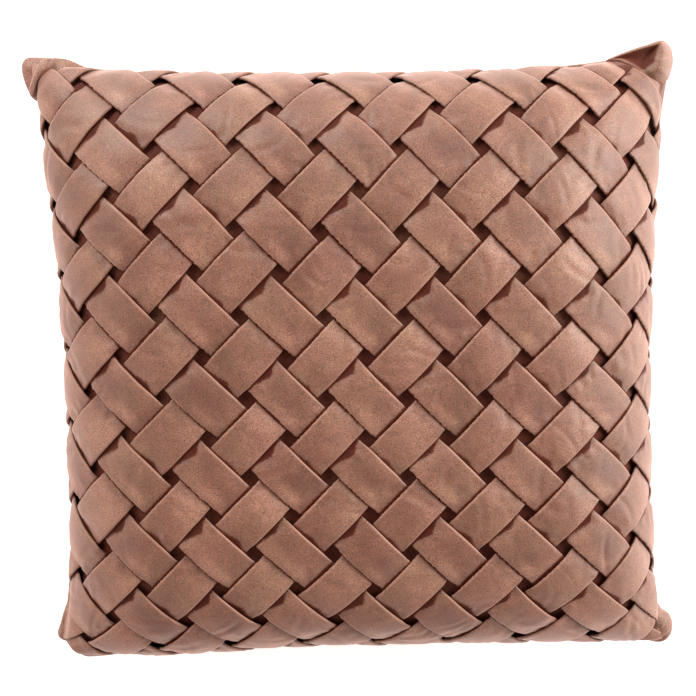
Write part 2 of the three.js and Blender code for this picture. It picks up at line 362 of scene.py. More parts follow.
def velvet(name, deep, middle, light, marked, shaded_copy=False):
    """Short-pile velvet: soft mottled colour, a pale sheen, a painted sheen towards glancing angles and
    a fine pile bump. marked velvet reads the marks that its piece carries: a shift of colour, at random
    and with painted light and shade on the floats, a painted highlight on the folds, and painted shade;
    other velvet reads its painted shade in the hollows. The shaded copy, with no sheen and little
    specular, is for the faces under painted shade, places that hardly any light reaches."""
    material = bpy.data.materials.new(name)
    material.use_nodes = True
    tree = material.node_tree
    shader = tree.nodes["Principled BSDF"]
    coords = tree.nodes.new("ShaderNodeTexCoord").outputs["Object"]
    clouds, smudge, pile, hue = (noise(tree, coords, *kind) for kind in (CLOUDS, SMUDGE, PILE, HUE))

    lay = maths(tree, "MULTIPLY_ADD", clouds, 1.0, -0.5)
    smudged = maths(tree, "MULTIPLY", maths(tree, "SUBTRACT", smudge, 0.5), SMUDGE_SHARE)
    lay = maths(tree, "ADD", maths(tree, "ADD", lay, smudged), 0.5)
    if marked:
        # the piece's shift of colour, at random and with painted light and shade on the floats
        lay = maths(tree, "ADD", lay, attribute(tree, "tone_and_shading"))
    colour = nap_ramp(tree, lay, deep, middle, light)
    tint = mix_colour(tree, maths(tree, "MULTIPLY_ADD", hue, *HUE_RANGE, clamp=True), ROSY, TAWNY)
    colour = mix_colour(tree, 1.0, colour, tint, "MULTIPLY")
    speck = maths(tree, "MULTIPLY_ADD", pile, *SPECK_RANGE)
    grey = tree.nodes.new("ShaderNodeCombineColor")
    feed(tree, grey.inputs, (speck, speck, speck))
    colour = mix_colour(tree, 1.0, colour, grey.outputs[0], "MULTIPLY")
    # painted sheen: paler where the surface is seen at a glancing angle
    facing = tree.nodes.new("ShaderNodeLayerWeight").outputs["Facing"]
    glancing_sheen = maths(tree, "MULTIPLY", maths(tree, "POWER", facing, GLANCING_POWER), GLANCING_SHARE)
    colour = mix_colour(tree, glancing_sheen, colour, GLANCING_SHEEN_COLOUR)
    if marked:
        # painted highlight on the folds
        rim = maths(tree, "MULTIPLY", attribute(tree, "rim"), RIM_HIGHLIGHT_SHARE)
        colour = mix_colour(tree, rim, colour, (*(RIM_HIGHLIGHT_GAIN * c for c in light), 1))
        # painted shade: a shadow where a float dives under and a shadow line along each neighbour's edge
        painted_shade = maths(tree, "MULTIPLY", attribute(tree, "painted_shade"), PAINTED_SHADE_SHARE)
        colour = mix_colour(tree, painted_shade, colour, SHADED)
    else:
        # painted shade in the hollows: under the weave, in the ears' folds and inside the pocket
        hollow_shading = maths(tree, "MULTIPLY_ADD", hue, *HOLLOW_SHADE_RANGE, clamp=True)
        hollow_shading = maths(tree, "MULTIPLY", attribute(tree, "inside"), hollow_shading)
        colour = mix_colour(tree, hollow_shading, colour, HOLLOW_SHADE_COLOUR)
    rough = maths(tree, "MULTIPLY_ADD", smudge, *ROUGH_RANGE)
    piled = maths(tree, "MULTIPLY", pile, PILE_RELIEF)
    relief = maths(tree, "ADD", piled, maths(tree, "MULTIPLY", smudge, SMUDGE_RELIEF))
    bump = tree.nodes.new("ShaderNodeBump")
    bump.inputs["Strength"].default_value = BUMP_STRENGTH
    bump.inputs["Distance"].default_value = BUMP_DISTANCE
    tree.links.new(relief, bump.inputs["Height"])
    for socket, value in {
        "Base Color": colour,
        "Roughness": rough,
        # the shaded copy, on faces under painted shade, has little specular and no sheen
        "Specular IOR Level": SHADED_COPY_SPECULAR if shaded_copy else SPECULAR,
        "Specular Tint": SPECULAR_TINT,
        "Sheen Weight": 0.0 if shaded_copy else SHEEN,
        "Sheen Roughness": SHEEN_ROUGHNESS,
        "Sheen Tint": SHEEN_TINT,
        "Normal": bump.outputs[0],
    }.items():
        feed(tree, (shader.inputs[socket],), (value,))
    return material


def velvet_pair(name, tones, marked):
    # the second is the shaded copy, for faces under painted shade
    return velvet(name, *tones, marked), velvet(f"{name}_tucked", *tones, marked, shaded_copy=True)


# Deep, middle and light nap
STRIP_TONES = (0.112, 0.035, 0.018), (0.166, 0.063, 0.035), (0.242, 0.108, 0.065)
COVER_TONES = (0.133, 0.046, 0.026), (0.191, 0.078, 0.047), (0.265, 0.126, 0.081)
STRIP_VELVET = velvet_pair("strip_velvet", STRIP_TONES, marked=True)
COVER_VELVET = velvet_pair("cover_velvet", COVER_TONES, marked=False)


# Strips: a closed ribbon with rounded folds, laid over and under along the face

STRIP_STEP = 1.0
FEWEST_STEPS = 8
TOP_POINTS = 17
TOP_FLAT = 0.93
TOP_SHOULDER = 0.98
EDGE_POINTS = 4
BOTTOM_POINTS = 5
HALF_THICK = 0.9
STRIP_REACH = 0.997
STRIP_LIMIT = 1.004
EAR_COVERED = 1.5
LOWER_LEFT_REACH = 279.0
CORNER_DRAW = 0.9
# heights on the section, as shares of half its thickness, above which each detail lies
TOP_FROM = 0.5
RIM_FROM = -0.3
FRAY_FROM = -0.9
# lines counted past the other family's last strips, so that every end lies in a row
SPARE_LINES = 3
# how a strip rises over its neighbours and dives under them
MIDDLE_LIFT = 3.1
WAVE_LIFT = 1.5
WAVE_GAIN = 2.2
END_LIFT = 1.2
END_THICK = 0.75
END_LENGTH = 16
TWIST = 0.04
OVER = (-0.1, 0.6)
CROWN_LIFT = 0.5
CROWN_START = 0.6
ROUND_OVER = 0.35
ROUND_ALL = 0.1
ROLL_HEIGHT = 0.15
ROLL = (0.9, 0.08)
# how each float differs from the next: the most either way, or for tones one standard deviation
FLOAT_TILT = 0.35
FLOAT_PUFF = 0.3
FLOAT_WIDEN = 0.25
FLOAT_CREST = 0.2
FLOAT_TONE = 0.05
STRIP_TONE = 0.05
# seeded unevenness: the shortest and longest wave, how many, and the height of each kind
DRIFT_WAVES, DRIFT = (70, 180, 5), 0.3
EDGE_WAVES, EDGE_UNEVEN, EDGE_APART = (20, 50, 7), 0.1, 50
FRAY_WAVES, FRAY = (2.1, 4.5, 9), 0.17
CRUMPLE_WAVES, CRUMPLE = (9, 24, 11), 0.2
DENT_WAVES, DENT, DENT_TONE = (22, 60, 7), 0.12, 0.05
CRUMPLE_ACROSS = 1.5
DIVING = (0.05, 0.45)
OVER_WIDER = 0.02
# creases of a float: how many, below the last, and the range of each measure
CREASE_COUNT = (1, 4)
CREASE_ALONG = (-14, 14)
CREASE_ACROSS = (-9, 9)
CREASE_ANGLE = (35, 85)
CREASE_LENGTH = (7, 17)
CREASE_WIDTH = (1.5, 2.8)
CREASE_DEPTH = (0.12, 0.4)
CREASE_BEND = 0.012
# the ridges beside a crease: height, then place and width in widths of the valley
RIDGE_HEIGHT = 0.5
RIDGE_PLACE, RIDGE_WIDTH = 2.1, 1.1
# where a float dives under its neighbour it sinks under a painted shadow, and a painted shadow line runs
# along every neighbour's edge; both are weaker near a strip's ends
TUCK_OPEN = 0.05
TUCK_AHEAD = 1.0
TUCK_SINK = 1.1
TUCK_SLOPE = 3.0
TUCK_SHADOW_SHARE = 0.96
TUCK_SHADOW_FADE = (14, 34)
LINE_REACH, LINE_SLOPE = 1.9, 1.2
LINE_SOFT_SHADE, LINE_FADE = 0.3, 2.4
END_DARK, END_DARK_FADE = 0.4, (6, 26)
# painted highlight on the folds, strongest on the fold at u = -1 that faces the light and broken up by
# the
# loose pile on the open fold: place and width of the rim, and its share on the fold at u = 1
RIM = (1, 0.025)
RIM_BEHIND = 0.45
RIM_MOST = 1.3
RIM_FRAY, RIM_FRAY_LESS = 0.8, 0.2
OPEN_FOLD = (0.9, 1)
# painted light and shade on the floats, standing in for their rounded shape, as shares of the range of
# tones, and where along or across they lie
PALE_START, PALE_RANGE = 0.2, (-0.2, 0.8)
DARK_START, DARK_RANGE = 0.15, (0.0, 0.9)
SIDE_SHADE_SLOPE = 0.1
LIT_STREAK, LIT_STREAK_PLACE, LIT_STREAK_RANGE = 0.55, (0.62, 0.28), (-0.5, 0.7)
SHADE, SHADE_PLACE = 0.2, (-0.15, 0.5)


def draw_in_corner(points):
    """The lower left ear is folded under, so nothing reaches far past its fold."""
    past = np.maximum(-(points[..., 0] + points[..., 1]) / math.sqrt(2) - LOWER_LEFT_REACH, 0)
    points[..., :2] += (CORNER_DRAW * past / math.sqrt(2))[..., None]


def ribbon_section():
    """Points round a strip's section: place across from -1 to 1, and height as a share of half its
    thickness, with how far each point stands out past the place, for the rounded folds."""
    top = np.linspace(-TOP_FLAT, TOP_FLAT, TOP_POINTS)
    section = [(u, 1.0, 0.0) for u in (-1.0, -TOP_SHOULDER, *top, TOP_SHOULDER, 1.0)]
    for angle in np.radians(np.linspace(90, -90, EDGE_POINTS + 2)[1:-1]):
        section.append((1.0, math.sin(angle), math.cos(angle)))
    section.extend((u, -1.0, 0.0) for u in np.linspace(1, -1, BOTTOM_POINTS))
    for angle in np.radians(np.linspace(-90, -270, EDGE_POINTS + 2)[1:-1]):
        section.append((-1.0, math.sin(angle), -abs(math.cos(angle))))
    return np.array(section).T


def on_panel(family, place, along):
    """The panel's point at place across a family's strips and along them."""
    return panel_point(place, along) if family is RISING else panel_point(along, place)


def line_span(family, place, reach):
    """Where the straight weave line at place enters and leaves the square cover."""
    start, one = on_panel(family, place, 0.0), on_panel(family, place, 1.0)
    low, high = -np.inf, np.inf
    for origin, next_place in zip(start, one):
        rate = next_place - origin
        ends = sorted(((-reach - origin) / rate, (reach - origin) / rate))
        low, high = max(low, ends[0]), min(high, ends[1])
    return low, high


def creases(rng, along, cross, floats):
    """Short soft creases on each float: a narrow valley with a low ridge on either side."""
    height = np.zeros_like(along)
    for centre in floats:
        for _ in range(rng.integers(*CREASE_COUNT)):
            place = centre + rng.uniform(*CREASE_ALONG), rng.uniform(*CREASE_ACROSS)
            angle = math.radians(rng.choice((-1, 1)) * rng.uniform(*CREASE_ANGLE))
            length, wide = rng.uniform(*CREASE_LENGTH), rng.uniform(*CREASE_WIDTH)
            depth = rng.uniform(*CREASE_DEPTH)
            da, dc = along - place[0], cross - place[1]
            down = da * math.cos(angle) + dc * math.sin(angle)
            side = -da * math.sin(angle) + dc * math.cos(angle) + CREASE_BEND * down**2
            reach = np.exp(-((down / length) ** 4))
            ridges = hump(np.abs(side), RIDGE_PLACE * wide, RIDGE_WIDTH * wide)
            height += depth * reach * (RIDGE_HEIGHT * ridges - hump(side, 0, wide))
    return height


class Strip:
    """One strip's ribbon. Its arrays have a row for each step along it and a column for each point
    of its section: u is the place across from -1 to 1, along the distance in mm."""

    def __init__(self, family, own, seed):
        self.family, self.own = family, own
        self.other = FALLING if family is RISING else RISING
        self.rng = np.random.default_rng(seed)
        low, high = strip_edges(family, own)
        self.middle, self.half = (low + high) / 2, (high - low) / 2
        first = self.other["first"]
        self.indices = np.arange(first - SPARE_LINES, first + self.other["count"] + SPARE_LINES)
        self.middles = np.array([sum(strip_edges(self.other, k)) / 2 for k in self.indices])
        self.lay_out()
        self.find_crossings()
        self.draw_unevenness()
        self.find_tucks()
        self.shape()
        self.mark()

    def lay_out(self):
        """From edge to edge of the cover, or under the last strip that crosses it at an upper ear."""
        across, self.height, self.out = ribbon_section()
        places = self.middle + across * self.half
        spans = [line_span(self.family, place, PANEL_HALF * STRIP_REACH) for place in places]
        start, end = np.array(spans).T
        start = np.maximum(start, strip_edges(self.other, self.other["first"])[0] + EAR_COVERED)
        count = max(FEWEST_STEPS, int(round((end - start).max() / STRIP_STEP)))
        share = np.linspace(0, 1, count + 1)[:, None]
        self.along = start + (end - start) * share
        self.u = np.broadcast_to(across, self.along.shape)
        self.length = (end - start).mean()
        self.to_end = np.minimum(self.along - start, end - self.along)
        self.ending = smooth(self.to_end, 0, END_LENGTH)

    def find_crossings(self):
        """over is 1 on the floats, and wave runs from 1 on a float to -1 under a neighbour."""
        sign, odd = self.family["sign"], self.family["odd"]
        phase = np.interp(self.along, self.middles, self.indices)
        self.nearest = np.rint(phase).astype(int) - self.indices[0]
        self.wave = np.cos(np.pi * (phase + TWIST * self.u + self.own)) * sign
        self.over = smooth(np.cos(np.pi * (phase + self.own)) * sign, *OVER)
        row = (2 * np.rint((phase + self.own - odd) / 2) - self.own + odd - self.indices[0]).astype(int)
        self.row = np.clip(row, 1, len(self.indices) - 2)
        edges = np.array([strip_edges(self.other, k) for k in self.indices])
        gaps = self.along - edges[self.row - 1, 1], edges[self.row + 1, 0] - self.along
        self.near, self.far = gaps if self.family is FALLING else gaps[::-1]

    def for_each_line(self, low, high):
        return self.rng.uniform(low, high, len(self.indices))

    def draw_unevenness(self):
        self.tilt = self.for_each_line(-FLOAT_TILT, FLOAT_TILT)[self.nearest] * self.over
        self.puff = self.for_each_line(-FLOAT_PUFF, FLOAT_PUFF)[self.nearest] * self.over
        self.wide = self.for_each_line(-FLOAT_WIDEN, FLOAT_WIDEN)[self.nearest] * self.over
        self.drift = Waves(self.rng, *DRIFT_WAVES)
        self.edge_wave = Waves(self.rng, *EDGE_WAVES)
        self.fray = Waves(self.rng, *FRAY_WAVES)
        self.crumple = Waves(self.rng, *CRUMPLE_WAVES)
        self.dented = Waves(self.rng, *DENT_WAVES)(self.along, self.u * self.half)

    def find_tucks(self):
        """depth is how far the painted shadow reaches into the float from where it dives under its
        neighbour;
        the float sinks there too.
        """
        deepest = self.for_each_line(*self.family["tuck"])[self.row]
        crest = self.for_each_line(-FLOAT_CREST, FLOAT_CREST)[self.row] + self.family["crest"]
        above = np.clip((1 - self.u) / (1 - crest), 0, 1)
        self.depth = deepest * above * np.clip((1 + self.u + TUCK_OPEN) / (1 + crest), 0, 1)

    def lift(self):
        """How high each point stands over the cover."""
        u, over, ending, top = self.u, self.over, self.ending, self.height > TOP_FROM
        bend = np.tanh(WAVE_GAIN * self.wave) / math.tanh(WAVE_GAIN)
        lift = MIDDLE_LIFT + WAVE_LIFT * bend + CROWN_LIFT * over * (self.wave - CROWN_START)
        lift = lift - (ROUND_OVER * over + ROUND_ALL) * u * u + self.tilt * u + self.puff
        lift = END_LIFT + (lift - END_LIFT) * ending
        lift = lift - TUCK_SINK * smooth(self.depth + TUCK_AHEAD - self.near, 0.0, TUCK_SLOPE) * over
        crumpled = self.crumple(self.along, CRUMPLE_ACROSS * u * self.half)
        surface = DENT * self.dented * over + CRUMPLE * hump(self.wave, *DIVING) * crumpled
        floats = self.middles[(self.indices + self.own) % 2 == self.family["odd"]]
        surface = surface + creases(self.rng, self.along, u * self.half, floats) * top
        roll = ROLL_HEIGHT * hump(np.abs(u), *ROLL)
        thick = HALF_THICK * (1 + np.where(top, roll, 0)) * (END_THICK + (1 - END_THICK) * ending)
        return lift + surface * ending + thick * self.height

    def shape(self):
        lift = self.lift()
        open_fold = smooth(-self.family["sign"] * self.u, *OPEN_FOLD)
        self.frayed = open_fold * (self.height > FRAY_FROM) * self.family["fray"]
        half = self.half - self.family["trim"] - HALF_THICK
        width = half * (1.0 + OVER_WIDER * self.over) + self.wide
        width = width + EDGE_UNEVEN * self.edge_wave(self.along, np.sign(self.u) * EDGE_APART)
        width = width + FRAY * self.frayed * self.fray(self.along)
        place = self.middle + self.u * width + self.out * HALF_THICK + DRIFT * self.drift(self.along)
        limit = PANEL_HALF * STRIP_LIMIT
        s, t = (np.clip(q, -limit, limit) for q in on_panel(self.family, place, self.along))
        self.points = lifted(s, t, lift)
        draw_in_corner(self.points)

    def float_shading(self, place_on_float):
        # painted light and shade standing in for the float's rounded shape: rising floats lighter
        # towards one end, darker towards the other and a little lighter to one side; falling floats a
        # lit streak near one fold towards one end, and a shaded band just off the middle
        u = self.u
        if self.family is RISING:
            pale = PALE_START * smooth(place_on_float, *PALE_RANGE)
            return pale - DARK_START * smooth(-place_on_float, *DARK_RANGE) + SIDE_SHADE_SLOPE * u
        lit_streak = LIT_STREAK * hump(u, *LIT_STREAK_PLACE) * smooth(-place_on_float, *LIT_STREAK_RANGE)
        return lit_streak - SHADE * hump(u, *SHADE_PLACE)

    def mark(self):
        """The marks: a shift of colour, at random and with painted light and shade on the floats; a
        painted highlight on the rim of the folds; and painted shade, a shadow where a float dives under
        its neighbour and a shadow line along each neighbour's edge.
        """
        u, near, far = self.u, self.near, self.far
        tone_and_shading = self.rng.normal(0, FLOAT_TONE, len(self.indices))[self.nearest] * self.over
        tone_and_shading = tone_and_shading + self.rng.normal(0, STRIP_TONE) + DENT_TONE * self.dented
        # painted light and shade on the floats, standing in for their rounded shape
        tone_and_shading = tone_and_shading + self.float_shading(self.family["sign"] * (near - far) / (far + near)) * self.over
        # painted highlight on the folds, stronger on the fold at u < 0 that faces the light, broken up
        # by the loose pile on the open fold
        rim = hump(np.abs(u), *RIM) * self.over * (self.height > RIM_FROM)
        rim = rim * np.where(u < 0, 1.0, RIM_BEHIND)
        rim = rim * (1 + self.frayed * (RIM_FRAY * self.fray(self.along + 3) - RIM_FRAY_LESS))
        soft = self.family["soft"]
        # painted shadow where the float dives under its neighbour
        tuck_shadow = TUCK_SHADOW_SHARE * smooth(self.depth - near, -soft, soft)
        tuck_shadow = tuck_shadow * (self.depth > TUCK_OPEN) * smooth(self.to_end, *TUCK_SHADOW_FADE)
        hem = np.minimum(near, far)
        # painted shadow line along each neighbour's edge
        line = smooth(LINE_REACH - hem, 0.0, LINE_SLOPE)
        line = line + LINE_SOFT_SHADE * np.exp(-np.maximum(hem, 0) / LINE_FADE)
        # the painted shade is weaker near the strip's ends
        faded = END_DARK + (1 - END_DARK) * smooth(self.to_end, *END_DARK_FADE)
        painted_shade = np.clip(np.maximum(tuck_shadow, line), 0, 1) * faded
        self.marks = {"tone_and_shading": tone_and_shading, "rim": np.clip(rim, 0, RIM_MOST), "painted_shade": painted_shade}

    def faces(self):
        rows, ring = self.along.shape
        faces = ring_faces(rows, ring)
        faces.append(tuple(range(ring - 1, -1, -1)))
        faces.append(tuple((rows - 1) * ring + k for k in range(ring)))
        return turned(faces) if self.family is RISING else faces


def strip_piece(family, own, seed):
    strip = Strip(family, own, seed)
    node_name = f"{family['name']}_strip_{own - family['first'] + 1:02d}"
    # faces under the painted shade take the velvet's shaded copy
    points, dark = strip.points.reshape(-1, 3), strip.marks["painted_shade"].ravel()
    piece = mesh_object(f"velvet_{node_name}", points, strip.faces(), STRIP_VELVET, strip.marks, dark)
    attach(piece, "root")
    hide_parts(node_name)


# Cover: the front lies under the strips, and the slack back panel settles in folds on the floor

BACK_CELLS = 90
BACK_STEPS = 160
BACK_ROUNDS = 6
BACK_PRESSURE = 0.012
BACK_KEEPS = 0.93
BACK_SEED = 11
FIRST_FOLDS, FIRST_HEIGHT = (14, 30, 15), 0.8
# links of the back panel's cloth: how far apart on the grid, least and most stretch, strength
BACK_LINKS = [
    ((1, 0), 0.985, 1.02, 1.0),
    ((0, 1), 0.985, 1.02, 1.0),
    ((1, 1), 0.985, 1.02, 0.35),
    ((1, -1), 0.985, 1.02, 0.35),
    ((2, 0), 0.94, 2, 0.12),
    ((0, 2), 0.94, 2, 0.12),
]
COVER_INSET = 0.9
RIM_INSET = 0.5
LIP_OUT = 3.6
LIP_HALF = 1.3
# the seam lip's section, as shares of how far it stands out and of half its height
LIP = ((0.75, 1.0), (1.0, 0.0), (0.75, -1.0))
LIP_ENDS = (0.9, 0.985)
# painted shade on the cover's front under the weave: the rise over which it grows, its strength, and the
# fullness of that rise
UNDER_WEAVE = (0.03, 0.22)
UNDER_WEAVE_SHADE = 0.92
UNDER_WEAVE_FULLNESS = 4


def pull_to_length(points, shift, low, high, strength, cell):
    """Moves pairs of panel points, shift apart on the grid, back to between low and high times their
    flat distance. Neighbours take turns, every other pair at a time; wider pairs move all at once,
    twice."""
    down, across = shift
    length = cell * math.hypot(down, across)
    if down == 0:
        points, down, across = points.swapaxes(0, 1), across, 0
    step = 2 if down == 1 else 1
    for turn in (0, 1):
        begin = turn if down == 1 else 0
        first, second = points[begin:-down:step], points[begin + down :: step]
        if across > 0:
            first, second = first[:, :-across], second[:, across:]
        elif across < 0:
            first, second = first[:, -across:], second[:, :across]
        gap = second - first
        size = np.linalg.norm(gap, axis=-1, keepdims=True)
        wanted = np.clip(size, low * length, high * length)
        move = gap * (0.5 * strength * (size - wanted) / size)
        first += move
        second -= move


def panel_normals(points):
    along = np.zeros_like(points)
    across = np.zeros_like(points)
    along[1:-1] = points[2:] - points[:-2]
    along[0], along[-1] = points[1] - points[0], points[-1] - points[-2]
    across[:, 1:-1] = points[:, 2:] - points[:, :-2]
    across[:, 0], across[:, -1] = points[:, 1] - points[:, 0], points[:, -1] - points[:, -2]
    normal = np.cross(across, along)
    return normal / np.linalg.norm(normal, axis=-1, keepdims=True)


def settled_back():
    """Simulates the flat back panel: sewn to the drawn-in seam, pressed out by the filling and held
    up by the floor. Its spare cloth gathers in folds along the seam."""
    n = BACK_CELLS
    even = np.linspace(-1, 1, n + 1)
    q, r = np.meshgrid(even, even, indexing="ij")
    x, y = plan_point(q, r, BACK_TURN)
    depth = np.maximum(SEAM_HEIGHT - BACK_CROWN * rise(q, r, BACK_FULLNESS), 0)
    points = np.stack([x, y, depth], -1)
    seam = points.copy()
    rng = np.random.default_rng(BACK_SEED)
    start = FIRST_HEIGHT * Waves(rng, *FIRST_FOLDS)(q * PANEL_HALF, r * PANEL_HALF)
    points[1:-1, 1:-1, 2] += np.maximum(start, -points[..., 2])[1:-1, 1:-1]
    before = points.copy()
    cell = 2 * PANEL_HALF / n
    steps = BACK_STEPS
    for _ in range(steps):
        ahead = points + BACK_KEEPS * (points - before) + BACK_PRESSURE * cell * panel_normals(points)
        before, points = points, ahead
        for _ in range(BACK_ROUNDS):
            for link in BACK_LINKS:
                pull_to_length(points, *link, cell)
            points[..., 2] = np.maximum(points[..., 2], 0)
            for edge in (np.s_[0], np.s_[-1], np.s_[:, 0], np.s_[:, -1]):
                points[edge] = seam[edge]
    return points


def finer(points):
    """Doubles a grid's rows and columns with a smooth curve through its points."""
    for axis in (0, 1):
        points = np.moveaxis(points, axis, 0)
        padded = np.concatenate([2 * points[:1] - points[1:2], points, 2 * points[-1:] - points[-2:-1]])
        middle = (9 * (padded[1:-2] + padded[2:-1]) - padded[:-3] - padded[3:]) / 16
        made = np.empty((2 * len(points) - 1, *points.shape[1:]))
        made[::2], made[1::2] = points, middle
        points = np.moveaxis(made, 0, axis)
    return points


def rim_order(n):
    rim = [(i, 0) for i in range(n)] + [(n, j) for j in range(n)]
    return rim + [(i, n) for i in range(n, 0, -1)] + [(0, j) for j in range(n, 0, -1)]


class Shell:
    """Points, faces and painted shade marks that several closed forms are gathered in."""

    def __init__(self):
        self.points, self.faces, self.inside = [], [], []

    def add(self, points, faces, inside):
        base = len(self.points)
        self.points.extend(points)
        self.inside.extend(inside)
        self.faces.extend(tuple(int(k) + base for k in face) for face in faces)


def lip_loops(rim, at_ear):
    """Three loops round the seam that stand out from it, less and less towards the ears."""
    ahead, behind = np.roll(rim, -2, 0), np.roll(rim, 2, 0)
    out = np.cross(ahead - behind, (0, 0, 1.0))
    out = out / np.linalg.norm(out, axis=-1, keepdims=True)
    loops = []
    for share, height in LIP:
        loop = rim + out * (LIP_OUT * share) * (1 - at_ear)
        loop[:, 2] = SEAM_HEIGHT + height * LIP_HALF
        loops.append(loop)
    return loops


def body_form(shell):
    """The cover's front and back, as two grids that the seam lip joins into one closed form."""
    back = finer(settled_back())
    n = len(back) - 1
    even = np.linspace(-1, 1, n + 1)
    q, r = np.meshgrid(even, even, indexing="ij")
    inset = COVER_INSET + RIM_INSET * (1 - rise(q, r, FRONT_FULLNESS))
    front = lifted(q * PANEL_HALF, r * PANEL_HALF, -inset)
    front[..., 2] = np.maximum(front[..., 2], SEAM_HEIGHT)
    order = rim_order(n)
    rim = np.array([front[i, j] for i, j in order])
    at_ear = np.array([smooth(abs(q[i, j] * r[i, j]), *LIP_ENDS) for i, j in order])[:, None]
    loops = lip_loops(rim, at_ear)
    for (i, j), point in zip(order, rim):
        back[i, j] = point
        front[i, j, 2] = SEAM_HEIGHT + LIP_HALF
        back[i, j, 2] = SEAM_HEIGHT - LIP_HALF
    size = (n + 1) ** 2
    grid = np.arange(size).reshape(n + 1, n + 1)
    a, b, c, d = grid[:-1, :-1], grid[1:, :-1], grid[1:, 1:], grid[:-1, 1:]
    faces = np.stack([a, b, c, d], -1).reshape(-1, 4).tolist()
    faces.extend((np.stack([a, d, c, b], -1).reshape(-1, 4) + size).tolist())
    count = len(order)
    front_rim = [int(grid[i, j]) for i, j in order]
    starts = [2 * size + k * count for k in range(len(loops))]
    lip_rings = [range(start, start + count) for start in starts]
    rings = [front_rim, *lip_rings, [k + size for k in front_rim]]
    for upper, lower in zip(rings, rings[1:]):
        for k in range(count):
            m = (k + 1) % count
            faces.append((upper[k], lower[k], lower[m], upper[m]))
    points = np.concatenate([front.reshape(-1, 3), back.reshape(-1, 3), *loops])
    draw_in_corner(points)
    inside = np.zeros(len(points))
    # painted shade on the front, under the weave
    inside[:size] = (smooth(rise(q, r, UNDER_WEAVE_FULLNESS), *UNDER_WEAVE) * UNDER_WEAVE_SHADE).ravel()
    shell.add(points, faces, inside)


# Ears: small closed forms that grow out of the cover

LOBE_POINTS = 96
LOBE_LEVELS = 25
LOBE_FOLDS = (0.02, 0.3)
# painted shade in the hollows of an ear's folds: its strength, and the fold depths over which it grows
FOLD_SHADE, FOLD_DEPTH = 0.9, (0.7, 2.0)
CUP_POINTS = 120
CUP_WALL = (0.25, 0.6, 0.85)
CUP_HEM_LEVELS = 12
CUP_HEM, CUP_HEM_LEAN = 0.42, 0.4
# how far down to the foot and how far in towards the middle the cup's outside comes
CUP_OUTSIDE = ((0.25, 0.01), (0.5, 0.035), (0.75, 0.09), (1.0, 0.2))
# painted shade inside the pocket: on the rings of its wall and mouth, from the floor up, and at the
# middle of its floor
CUP_SHADE = (0.98, 0.95, 0.88, 0.5)
CUP_FLOOR_SHADE = 0.8


def smooth_loop(points, count):
    """A closed smooth curve through points, with count even steps of its parameter."""
    points = np.asarray(points, float)
    place = np.arange(count) * len(points) / count
    k = place.astype(int)
    f = (place - k)[:, None]
    p0, p1, p2, p3 = (points[(k + shift) % len(points)] for shift in (-1, 0, 1, 2))
    bend = (2 * p0 - 5 * p1 + 4 * p2 - p3) * f**2
    return 0.5 * (2 * p1 + (p2 - p0) * f + bend + (3 * p1 - p0 - 3 * p2 + p3) * f**3)


def closed_form(loops):
    """Points and faces of a form of rings, one below the other, with a fan over each end."""
    count = len(loops[0])
    faces = turned(ring_faces(len(loops), count))
    points = np.concatenate([*loops, loops[0].mean(0)[None], loops[-1].mean(0)[None]])
    top, bottom, last = len(points) - 2, len(points) - 1, (len(loops) - 1) * count
    for i in range(count):
        m = (i + 1) % count
        faces.append((top, i, m))
        faces.append((bottom, last + m, last + i))
    return points, faces


def lobe(shell, outline, centre, middle_height, thick_up, thick_down, relief):
    """A small filled lobe of cover at an ear: a rounded closed form over its plan outline."""
    loop = smooth_loop(outline, LOBE_POINTS)
    centre = np.array(centre)
    loops, marks = [], []
    for angle in np.linspace(90, -90, LOBE_LEVELS)[1:-1]:
        share = math.cos(math.radians(angle))
        thick = thick_up if angle > 0 else thick_down
        plan = centre + (loop - centre) * share
        height = middle_height + thick * math.sin(math.radians(angle)) * np.ones(LOBE_POINTS)
        folds = np.zeros(LOBE_POINTS)
        if relief is not None and angle > 0:
            folds = relief(plan[:, 0], plan[:, 1]) * smooth(1 - share, *LOBE_FOLDS)
        # painted shade in the hollows of the folds
        marks.append(FOLD_SHADE * smooth(-folds, *FOLD_DEPTH))
        loops.append(np.column_stack([plan, height + folds]))
    points, faces = closed_form(loops)
    shell.add(points, faces, np.concatenate([*marks, [marks[0].mean(), 0.0]]))


def cup(shell, mouth, outer, floor_centre, floor_height, foot_height):
    """An ear that is folded into an open pocket: mouth and outer are (x, y, z) key points at the
    pocket's mouth and its outline, in pairs."""
    mouth, outer = smooth_loop(mouth, CUP_POINTS), smooth_loop(outer, CUP_POINTS)
    deep = np.array([*floor_centre, floor_height])
    loops = []
    for share in CUP_WALL:
        ring = deep + (mouth - deep) * share
        ring[:, 2] = floor_height + (mouth[:, 2] - floor_height) * share**3
        loops.append(ring)
    loops.append(mouth)
    across = np.linalg.norm((outer - mouth)[:, :2], axis=1)
    for share in np.linspace(0, 1, CUP_HEM_LEVELS)[1:]:
        ring = mouth + (outer - mouth) * share
        ring[:, 2] += CUP_HEM * across * math.sin(math.pi * share) * (1 - CUP_HEM_LEAN * share)
        loops.append(ring)
    for drop, draw in CUP_OUTSIDE:
        ring = outer + (deep - outer) * draw
        ring[:, 2] = outer[:, 2] + (foot_height - outer[:, 2]) * drop
        loops.append(ring)
    points, faces = closed_form(loops)
    # painted shade inside the pocket
    inside = np.zeros(len(points))
    for k, dark in enumerate(CUP_SHADE):
        inside[k * CUP_POINTS : (k + 1) * CUP_POINTS] = dark
    inside[-2] = CUP_FLOOR_SHADE
    shell.add(points, faces, inside)


